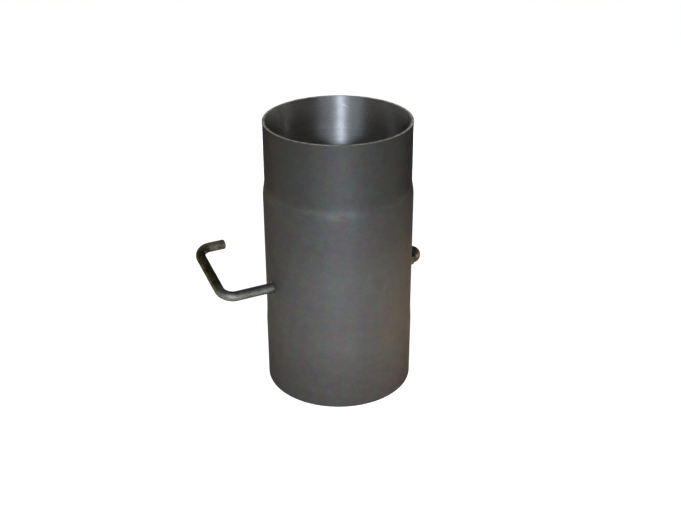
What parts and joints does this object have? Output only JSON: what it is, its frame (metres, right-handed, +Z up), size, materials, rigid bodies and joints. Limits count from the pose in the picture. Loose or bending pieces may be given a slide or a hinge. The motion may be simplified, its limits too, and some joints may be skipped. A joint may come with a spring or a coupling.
{
  "type": "stove pipe damper",
  "caption": "Short length of round flue pipe with a narrowed spigot end and a throttle blade inside, turned by a bent bar handle.",
  "frame": {"origin": "middle of the lower rim, on the pipe's axis, at the mouth of the socket", "axes": "+Z up along the pipe's axis towards the spigot; X along the damper's shaft, with the handle on the -X side and the nuts on the +X side"},
  "size_m": [0.2019, 0.138, 0.25],
  "materials": {
    "pipe_paint": "matt cast-iron-grey heat paint outside, bare steel inside",
    "handle_bar": "dull drawn round bar",
    "blade_steel": "bare sheet steel",
    "zinc_hardware": "zinc plated",
    "dark_hardware": "plain steel, dulled to a dark brown"
  },
  "bodies": {
    "pipe": {"pipe_body": "pipe_paint"},
    "damper": {"handle_rod": "handle_bar", "damper_blade": "blade_steel", "handle_side_saddle": "zinc_hardware", "nut_side_saddle": "zinc_hardware", "saddle_screw_1": "zinc_hardware", "saddle_screw_2": "zinc_hardware", "saddle_screw_3": "zinc_hardware", "saddle_screw_4": "zinc_hardware", "saddle_lock_washer_1": "zinc_hardware", "saddle_lock_washer_2": "zinc_hardware", "saddle_lock_washer_3": "zinc_hardware", "saddle_lock_washer_4": "zinc_hardware", "saddle_nut_1": "zinc_hardware", "saddle_nut_2": "zinc_hardware", "saddle_nut_3": "zinc_hardware", "saddle_nut_4": "zinc_hardware", "inner_nut": "zinc_hardware", "spring_washer": "zinc_hardware", "inner_washer": "zinc_hardware", "outer_washer": "dark_hardware", "cap_nut": "dark_hardware"}
  },
  "joints": [
    {"name": "damper_turn", "type": "hinge", "parent": "pipe", "child": "damper", "pos_m": [0, 0, 0.1029], "axis": [1, 0, 0], "continuous": true}
  ]
}
